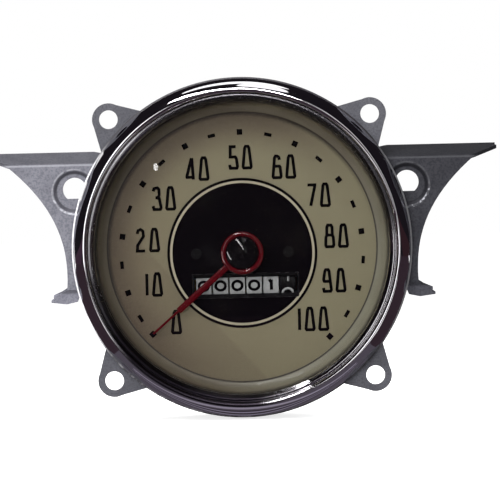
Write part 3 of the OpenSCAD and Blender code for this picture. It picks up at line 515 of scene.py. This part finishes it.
def grid_faces(rows, columns, close_rows, close_columns):
    """Quads between neighbouring points of a grid, wrapping round where a direction is closed."""
    i, j = np.meshgrid(np.arange(rows if close_rows else rows - 1),
                       np.arange(columns if close_columns else columns - 1), indexing="ij")
    a = i * columns + j
    b = i * columns + (j + 1) % columns
    c = (i + 1) % rows * columns + (j + 1) % columns
    d = (i + 1) % rows * columns + j
    return np.stack([a, b, c, d], -1).reshape(-1, 4)


def rounded(profile, times=2):
    """Cuts each corner of a closed outline at a quarter and three quarters of its edges, times over."""
    p = np.array(profile, float)
    for _ in range(times):
        ahead = np.roll(p, -1, axis=0)
        p = np.stack([0.75 * p + 0.25 * ahead, 0.25 * p + 0.75 * ahead], 1).reshape(-1, 2)
    return p


def turn(radius, y, centre_z):
    """Closes rows of radii round the Y axis: x is r sin a, z is r cos a above the row's centre, y stays."""
    a = np.linspace(0, 2 * np.pi, radius.shape[1], endpoint=False)
    x = radius * np.sin(a)
    z = radius * np.cos(a) + centre_z
    points = np.stack([x, np.broadcast_to(y, radius.shape), z], -1)
    return points.reshape(-1, 3), grid_faces(*radius.shape, True, True)


def lathe(profile, steps, centre_z=0.0):
    """Turns a closed outline of (radius, y) about the Y axis, the same all the way round."""
    p = np.array(profile, float)
    return turn(np.repeat(p[:, :1], steps, 1), p[:, 1:], centre_z)


def ellipse(centre, width, height, angles):
    """Points of an ellipse from straight out to straight forward, as (radius, y) with y falling forward."""
    return np.stack([centre[0] + width * np.cos(angles), centre[1] - height * np.sin(angles)], 1)


def quarter(centre, width, height, steps):
    """A quarter ellipse from straight out to straight forward, or to the rear if height is negative."""
    return ellipse(centre, width, height, np.linspace(0, np.pi / 2, steps))


def oval(centre, width, height, steps):
    """A whole ellipse, as a closed outline."""
    return ellipse(centre, width, height, np.linspace(0, 2 * np.pi, steps, endpoint=False))


# Bezel: domed outside, crown, step, bead and lip

CROWN = (CROWN_R, -0.8)
DOME_WIDTH = 4.5
DOME_RISE = 8.8
SHEET = 0.7
BEZEL_STEPS = 360
outside = quarter(CROWN, DOME_WIDTH, DOME_RISE, 40)
inside = quarter(CROWN, DOME_WIDTH - SHEET, DOME_RISE - SHEET, 20)[::-1]
shoulder = rounded([(CROWN_R, -9.6), (58.05, -9.52), (57.65, -9.1), (57.42, -8.45), (STEP_R, -7.72),
                    (56.95, -7.66), (56.6, -7.8), (56.2, -7.72), (55.9, -7.35), (55.25, -6.4),
                    (54.95, -5.95), (54.82, -5.6), (LIP_R, -5.22)])[3:-3]
flange = [(59.0, -0.1), (62.4, -0.1), (62.6, -0.16), (62.7, -0.34)]
back = [(LIP_R + 0.05, -5.2), (57.8, -5.2), (57.9, -8.0)]
bezel_outline = np.concatenate([flange, outside[1:], shoulder, back, inside, [(59.0, -0.8)]])
bezel = make_piece("bezel_skin", *lathe(bezel_outline, BEZEL_STEPS), "bezel_chrome", "housing")
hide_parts("bezel")

# Hem: the satin edge of the sheet rolled under the bezel

HEM_WIDTH = 0.44
HEM_HEIGHT = 0.42
hem_outline = oval((BEZEL_R - HEM_WIDTH, -0.62), HEM_WIDTH, HEM_HEIGHT, 16)
make_piece("bezel_hem", *lathe(hem_outline, BEZEL_STEPS), "bezel_chrome", "housing", satin_edge())

# Case: a drawn can with a rounded rear corner, a flange in front and a hole on the pointer axis

CASE_R = 57.2
CASE_WALL = 0.8
CASE_REAR = 52.3
CASE_FRONT = -1.6
CASE_FLANGE_R = 62.6
CASE_HOLE_R = 7.1
CASE_BEND = 3.2
corner = (CASE_R - CASE_BEND, CASE_REAR - CASE_BEND)
inner_bend = CASE_BEND - CASE_WALL
flange_back = CASE_FRONT + CASE_WALL
case_outline = np.concatenate([
    [(CASE_HOLE_R, CASE_REAR - CASE_WALL)],
    quarter(corner, inner_bend, -inner_bend, 10)[::-1],
    [(CASE_R - CASE_WALL, CASE_FRONT), (CASE_FLANGE_R, CASE_FRONT), (CASE_FLANGE_R, flange_back),
     (CASE_R, flange_back)],
    quarter(corner, CASE_BEND, -CASE_BEND, 10),
    [(CASE_HOLE_R, CASE_REAR)]])
row_centre = np.where(case_outline[:, :1] == CASE_HOLE_R, AXIS_Z, 0.0)
case_skin = make_piece("case_skin", *lathe(case_outline, 240, row_centre), "case_black", "housing")
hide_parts("case_can")

# Cable stem: a tube with a screw thread, a relief groove and a collar against the case

STEM_FRONT = 50.6
STEM_REAR = 67.35
STEM_BORE_R = 5.54
NECK_R = 7.0
RELIEF_R = 7.1
COLLAR_FRONT = 52.4
COLLAR_REAR = 52.8
THREAD_R = 7.94
THREAD_DEPTH = 0.75
THREAD_PITCH = 25.4 / 18
THREAD_REAR = 67.0
THREAD_FRONT = 54.2
RUN_OUT = 1.5


def threaded_stem(steps=96, rows=112):
    """A tube whose outside rises and falls once a pitch and moves on by one pitch a turn.

    The radius is the crest less the depth times a zigzag of y over the pitch minus the angle's share. The
    zigzag is stretched and clipped, which leaves narrow flats, and both ends of the thread are coned off."""
    share = np.arange(steps) / steps
    y = np.linspace(THREAD_REAR, THREAD_FRONT, rows)[:, None]
    zigzag = np.abs(2 * ((y / THREAD_PITCH - share) % 1) - 1)
    thread = THREAD_R - THREAD_DEPTH * np.clip(1.25 * zigzag - 0.125, 0, 1)
    from_end = np.minimum(THREAD_REAR + 0.1 - y, y - THREAD_FRONT + 0.1)
    thread = np.minimum(thread, RELIEF_R + 0.1 + from_end * RUN_OUT)
    bore = np.array([(STEM_BORE_R, STEM_FRONT), (STEM_BORE_R, THREAD_REAR), (STEM_BORE_R + 0.26, STEM_REAR),
                     (RELIEF_R, STEM_REAR)])
    root = np.array([(RELIEF_R, THREAD_FRONT - 0.3), (RELIEF_R, COLLAR_REAR + 0.15), (THREAD_R, COLLAR_REAR),
                     (THREAD_R, COLLAR_FRONT), (NECK_R, COLLAR_FRONT), (NECK_R, STEM_FRONT)])
    radius = np.concatenate([np.repeat(bore[:, :1], steps, 1), thread, np.repeat(root[:, :1], steps, 1)])
    return turn(radius, np.concatenate([bore[:, 1:], y, root[:, 1:]]), AXIS_Z)


stem = make_piece("threaded_stem", *threaded_stem(), "frame_cast", "housing")
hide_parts("cable_stem")

# Hub cap: a polished dome in the pointer's ring, closed at its poles by rings too small to see

CAP_R = 6.15
CAP_RISE = 2.2
CAP_FRONT = 0.15
CAP_BACK = 2.95
POLE_R = 1e-4
POLE_ANGLE = 1e-5
ball_r = (CAP_R ** 2 + CAP_RISE ** 2) / (2 * CAP_RISE)
dome_angles = np.linspace(math.asin(CAP_R / ball_r), POLE_ANGLE, 32)
dome = np.stack([ball_r * np.sin(dome_angles), CAP_FRONT + ball_r * (1 - np.cos(dome_angles))], 1)
cap_outline = np.concatenate([[(POLE_R, CAP_BACK), (CAP_R, CAP_BACK)], dome])
cap = make_piece("hub_dome", *lathe(cap_outline, 96, AXIS_Z), "cap_black", "needle")
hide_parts("hub_cap")

# Pointer: a rounded ring round the cap, a crowned arm and a thin needle

POINTER_REST = math.radians(-131)
POINTER_BACK = 3.5
RING_MIDDLE = (7.15, 2.5)
RING_WIDTH = 0.95
RING_HEIGHT = 0.9


def crowned_bar(start, end, width, front, back, steps=12):
    """A bar along the pointer's line: across runs over a low arch, along runs from start to end.

    The end rings close on their middles, so that the bar is a closed skin."""
    arch = np.linspace(0, np.pi, steps)
    across = np.concatenate([-np.cos(arch), [1, -1]]) * width / 2
    rise = np.concatenate([0.55 + 0.45 * np.sin(arch) ** 0.6, [0, 0]])
    depth = back + (front - back) * rise
    along = np.array([start, start, end, end], float)
    spread = np.array([0, 1, 1, 0], float)
    way = np.array([math.sin(POINTER_REST), math.cos(POINTER_REST)])
    aside = np.array([way[1], -way[0]])
    middle = (front + back) / 2
    flat = along[:, None, None] * way + (spread[:, None] * across)[:, :, None] * aside
    y = middle + spread[:, None] * (depth - middle)
    points = np.stack([flat[:, :, 0], y, flat[:, :, 1] + AXIS_Z], -1).reshape(-1, 3)
    return points, grid_faces(len(along), len(across), False, True)


ring_outline = oval(RING_MIDDLE, RING_WIDTH, RING_HEIGHT, 28)
arm_skin = crowned_bar(start=7.3, end=32.2, width=2.4, front=2.6, back=POINTER_BACK)
needle_skin = crowned_bar(start=31.5, end=45.0, width=0.86, front=2.75, back=POINTER_BACK)
ring = make_piece("pointer_ring", *lathe(ring_outline, 120, AXIS_Z), "pointer_red", "needle")
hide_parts("pointer")
make_piece("pointer_arm", *arm_skin, "pointer_red", "needle")
make_piece("pointer_needle", *needle_skin, "pointer_red", "needle")


# Digits of the odometer drums

def arc(x, y, rx, ry, start, end, steps=18):
    """Points on an ellipse from start to end, in degrees counted anticlockwise from the right."""
    a = np.radians(np.linspace(start, end, steps))
    return np.stack([x + rx * np.cos(a), y + ry * np.sin(a)], 1)


def path(*corners):
    """Points along straight lines between corners, six steps to a line."""
    c = np.array(corners, float)
    share = np.arange(6)[:, None] / 6
    runs = [a + share * (b - a) for a, b in zip(c[:-1], c[1:])]
    return np.concatenate(runs + [c[-1:]])


DIGIT_STROKES = {
    0: [arc(0, 0, 0.42, 0.5, 0, 360, 40)],
    1: [path((0.04, -0.58), (0.04, 0.58)), path((-0.2, 0.4), (0.04, 0.56))],
    2: [np.concatenate([arc(0, 0.18, 0.36, 0.32, 165, -40), path((-0.4, -0.5), (0.42, -0.5))])],
    3: [arc(-0.02, 0.24, 0.34, 0.26, 150, -90), arc(-0.02, -0.24, 0.38, 0.26, 90, -150)],
    4: [path((0.18, -0.5), (0.18, 0.5), (-0.42, -0.18), (0.44, -0.18))],
    5: [path((0.34, 0.5), (-0.26, 0.5), (-0.32, 0.08)), arc(-0.02, -0.18, 0.38, 0.32, 120, -150)],
    6: [arc(0, -0.2, 0.38, 0.3, 0, 360, 30), arc(0.12, -0.2, 0.5, 0.7, 180, 95)],
    7: [path((-0.4, 0.5), (0.4, 0.5), (-0.12, -0.5))],
    8: [arc(0, 0.26, 0.31, 0.24, 0, 360, 28), arc(0, -0.24, 0.38, 0.26, 0, 360, 30)],
    9: [arc(0, 0.2, 0.38, 0.3, 0, 360, 30), arc(-0.12, 0.2, 0.5, 0.7, 0, -85)],
}
DIGIT_TURN = 36
DIGIT_HEIGHT = 3.3
FILM = 0.03
SHOWN_DIGITS = (0, 0, 0, 0, 1, 0.5)


def ribbon(points, width):
    """A flat strip along a line: each point gives one point half a width to either side."""
    along = np.gradient(points, axis=0)
    along /= np.linalg.norm(along, axis=1, keepdims=True)
    aside = np.stack([-along[:, 1], along[:, 0]], 1) * width / 2
    both = np.stack([points + aside, points - aside], 1).reshape(-1, 2)
    return both, grid_faces(len(points), 2, False, False)


def drum_digits(middle_x, shown, size, width, one_width):
    """Ten digits wrapped round a drum: across stays x, up turns into an angle about the axle.

    The strips lie a film's thickness above the drum, and digit d sits 36 degrees times (d - shown) above
    the front. The digit 1 has a stroke width of its own."""
    all_points = []
    all_faces = []
    count = 0
    radius = DRUM_R + FILM
    for digit, strokes in DIGIT_STROKES.items():
        for stroke in strokes:
            flat, faces = ribbon(stroke * size, one_width if digit == 1 else width)
            angle = np.radians(DIGIT_TURN * (digit - shown)) + flat[:, 1] / DRUM_R
            x = middle_x + flat[:, 0]
            y = AXLE_Y - radius * np.cos(angle)
            z = AXLE_Z + radius * np.sin(angle)
            all_points.append(np.stack([x, y, z], 1))
            all_faces.append(faces + count)
            count += len(flat)
    return np.concatenate(all_points), np.concatenate(all_faces)


for number, shown_digit in enumerate(SHOWN_DIGITS, start=1):
    tenths = number == len(SHOWN_DIGITS)
    middle = FIRST_DRUM_X + (number - 1) * DRUM_PITCH + DRUM_FACE / 2
    size = np.array([4.6 if tenths else 4.3, DIGIT_HEIGHT])
    widths = (0.85, 0.7) if tenths else (1.05, 1.15)
    slot = "drum_white" if tenths else "print_black"
    body = "tenths" if tenths else f"drum_{number}"
    skin = drum_digits(middle, shown_digit, size, *widths)
    digits = make_piece(f"drum_digits_{number}", *skin, slot, body)
    film = digits.modifiers.new("film", "SOLIDIFY")
    film.thickness = FILM * MM
    film.offset = 0


# Camera at the photograph's viewing angle

def aim_camera(azimuth, elevation, roll, distance, aside, above, lens):
    """Stands the camera distance away, looks past the shifted centre and leans it by roll degrees."""
    a, e, r = (math.radians(v) for v in (azimuth, elevation, roll))
    back_way = Vector((math.sin(a) * math.cos(e), -math.cos(a) * math.cos(e), math.sin(e)))
    right = (-back_way).cross(Vector((0, 0, 1))).normalized()
    up = right.cross(-back_way)
    leaned_right = math.cos(r) * right + math.sin(r) * up
    leaned_up = math.cos(r) * up - math.sin(r) * right
    data = bpy.data.cameras.new("camera")
    data.lens = lens
    data.sensor_width = 36
    data.clip_start = 0.01
    camera = bpy.data.objects.new("camera", data)
    stance = Matrix((leaned_right, leaned_up, back_way)).transposed().to_4x4()
    spot = back_way * distance * MM + Vector((aside * MM, 0, above * MM))
    camera.matrix_world = Matrix.Translation(spot) @ stance
    bpy.context.scene.collection.objects.link(camera)
    bpy.context.scene.camera = camera


aim_camera(azimuth=0.6, elevation=0.8, roll=-1.35, distance=1500, aside=2.95, above=-1.1, lens=289.5)


# Light, floor and cards

FLOOR_Z = -64.2
FLOOR_HALF = 6000.0
FLOOR_CARD_Z = FLOOR_Z + 0.3
FLOOR_STRIP_Z = FLOOR_Z + 0.4
UNDER_Z = FLOOR_Z + 0.34
FRONT_Y = -1250
SIDE_X = 700
CEILING_Z = 1000
CAP_SHADE_Y = -8
LAMP_WHITE = (1.0, 1.0, 1.0)
DARK = (0.012, 0.010, 0.013)
DUSK = (0.03, 0.022, 0.03)
WARM_DUSK = (0.035, 0.017, 0.021)
FLOOR_DUSK = (0.042, 0.027, 0.036)
PURPLE = (0.055, 0.031, 0.048)
LILAC_DUSK = (0.1, 0.088, 0.11)
GREY = (0.2, 0.19, 0.2)
VIOLET = (0.3, 0.27, 0.35)
LILAC = (0.34, 0.31, 0.38)
SQUARE = np.array([[-1, -1], [1, -1], [1, 1], [-1, 1]])


def lamp(name, spot, size, power):
    """A square soft lamp that faces the middle of the bezel and that no surface mirrors."""
    data = bpy.data.lights.new(name, "AREA")
    data.size = size * MM
    data.energy = power
    made = bpy.data.objects.new(name, data)
    made.location = Vector(spot) * MM
    made.rotation_euler = (-Vector(spot)).to_track_quat("-Z", "Y").to_euler()
    made.visible_glossy = False
    bpy.context.scene.collection.objects.link(made)


def card(name, middle, across, along, colour, strength=1.0, corners=4):
    """A flat card given by its middle and two half sides, seen in reflections only.

    With four corners it fills the sides' box; with more it is a regular figure that touches the box."""
    angles = np.arange(corners) * 2 * np.pi / corners
    flat = SQUARE if corners == 4 else np.stack([np.cos(angles), np.sin(angles)], 1)
    mesh = bpy.data.meshes.new(name)
    points = flat @ np.array([across, along], float) + np.array(middle)
    mesh.from_pydata((points * MM).tolist(), [], [tuple(range(corners))])
    f = material(name)
    mesh.materials.append(f.finish(f.node("Emission", None, {"Color": rgba(colour), "Strength": strength})))
    made = bpy.data.objects.new(name, mesh)
    made.visible_camera = False
    made.visible_diffuse = False
    made.visible_shadow = False
    made.visible_transmission = False
    bpy.context.scene.collection.objects.link(made)


def light_path(f):
    """1 for rays that look straight at or mirror the surroundings, 0 for rays that gather light."""
    rays = f.node("LightPath")
    outputs = rays.socket.node.outputs
    seen = [Value(f, outputs[name]) for name in ("Is Camera Ray", "Is Glossy Ray", "Is Transmission Ray")]
    return f.node("Math", {"operation": "ADD", "use_clamp": True}, {0: seen[0] + seen[1], 1: seen[2]})


lamp("window_lamp", (-420, -1230, 140), 430, 10.0)
lamp("key_lamp", (-520, -620, 560), 420, 6.0)
lamp("top_lamp", (40, -260, 820), 500, 4.0)
lamp("rear_lamp", (320, 760, 520), 480, 9.0)

world = bpy.data.worlds.new("surroundings")
bpy.context.scene.world = world
sky = Finish(world)
glow = sky.node("Background", None, {"Color": (1, 1, 1, 1), "Strength": 0.4 + 0.6 * light_path(sky)})
sky.finish(glow)

floor_mesh = bpy.data.meshes.new("floor")
floor_corners = np.insert(SQUARE * FLOOR_HALF, 2, FLOOR_Z, axis=1)
floor_mesh.from_pydata((floor_corners * MM).tolist(), [], [(0, 1, 2, 3)])
paper = material("floor_paper")
matt = paper.node("BsdfDiffuse", None, {"Color": (0.82, 0.82, 0.82, 1)})
white = paper.node("Emission", None, {"Color": (1, 1, 1, 1), "Strength": 0.75 * light_path(paper)})
floor_mesh.materials.append(paper.finish(paper.node("AddShader", None, {0: matt, 1: white})))
floor = bpy.data.objects.new("floor", floor_mesh)
bpy.context.scene.collection.objects.link(floor)

# Walls and ceilings that the chrome mirrors dark

card("front_card", (0, FRONT_Y - 50, 100), (1500, 0, 0), (0, 0, 900), DARK)
card("left_card", (-SIDE_X, -200, 208), (0, 1100, 0), (0, 0, 272), DARK)
card("low_left_card", (2 - SIDE_X, -200, -27), (0, 1100, -70), (0, 0, 42), PURPLE)
card("right_card", (SIDE_X, -200, 208), (0, 1100, 0), (0, 0, 272), DARK)
card("low_right_card", (SIDE_X - 2, -200, -2), (0, 1100, -90), (0, 0, 66), WARM_DUSK)
card("rear_right_card", (425, 905, 208), (275, 0, 0), (0, 0, 272), DARK)
card("left_ceiling", (-940, -200, CEILING_Z), (0, 1100, 0), (560, 0, 0), DARK)
card("right_ceiling", (900, -200, CEILING_Z), (0, 1100, 0), (560, 0, 0), DARK)
card("rear_ceiling", (0, 2300, CEILING_Z), (0, 1660, 0), (1500, 0, 0), DARK)
card("ceiling", (0, -200, CEILING_Z + 15), (0, 1100, 0), (420, 0, 0), DARK)

# Floor, with the streaks at the bezel's foot

card("floor_card", (0, -300, FLOOR_CARD_Z), (0, 1000, 0), (SIDE_X, 0, 0), FLOOR_DUSK)
card("under_card", (0, 0, FLOOR_CARD_Z + 0.02), (0, 70, 0), (80, 0, 0), LILAC_DUSK)
card("under_line", (0, -12, UNDER_Z), (0, 2, 0), (60, 0, 0), LILAC)
for number, y in enumerate((-7.8, -6.3, -4.8, -2.8, 0.4), start=1):
    streak = DUSK if number % 2 else VIOLET
    card(f"under_streak_{number}", (0, y, UNDER_Z), (0, 0.45, 0), (60, 0, 0), streak)
card("left_floor_strip", (-160, -380, FLOOR_STRIP_Z), (-88, -270, 0), (24, -8, 0), LAMP_WHITE, 1.2)
card("right_floor_strip", (160, -380, FLOOR_STRIP_Z), (88, -270, 0), (24, 8, 0), LAMP_WHITE, 1.1)

# Bright panels overhead and in front, and the tube whose streak the crown and the cap mirror

card("front_glow", (0, FRONT_Y - 2, 100), (240, 0, 0), (0, 0, 350), GREY)
card("front_shade", (-18, FRONT_Y + 2, -15), (106, 0, 0), (0, 0, 106), DARK)
card("sky_card", (-40, 440, CEILING_Z + 10), (0, 290, 0), (360, 0, 0), LAMP_WHITE, 1.8, corners=24)
card("near_sky", (150, -270, CEILING_Z + 8), (0, 620, 0), (170, 0, 0), LAMP_WHITE, 1.5, corners=24)
card("left_strip", (-440, FRONT_Y, 200), (0, 0, 280), (190, 0, 0), LAMP_WHITE, 2.6)
card("right_strip", (350, FRONT_Y, 300), (0, 0, 370), (100, 0, 0), LAMP_WHITE, 0.8)
card("tube_card", (-135, -710, 611), (255, -430, -263), (40, 16, 27), LAMP_WHITE, 24.0)

# Shades and a glint close to the cap, and the flash that the glass mirrors

card("cap_low_shade", (0, CAP_SHADE_Y, -6.4), (9.5, 0, 0), (0, 0, 4.2), DARK)
card("cap_left_shade", (-4.4, CAP_SHADE_Y, -0.5), (1.8, 0, 0), (0, 0, 2.7), DARK)
card("cap_glint", (-11.9, -1.33, -3.9), (-3.2, 0.22, 3.3), (-0.12, 0.31, -0.14), LAMP_WHITE, 16.0)
card("flash_card", (-54.7, -700, 35.6), (1.2, 0, 0), (0, 0, 2.0), LAMP_WHITE, 11.0, corners=16)

bpy.context.scene.view_settings.view_transform = "Standard"
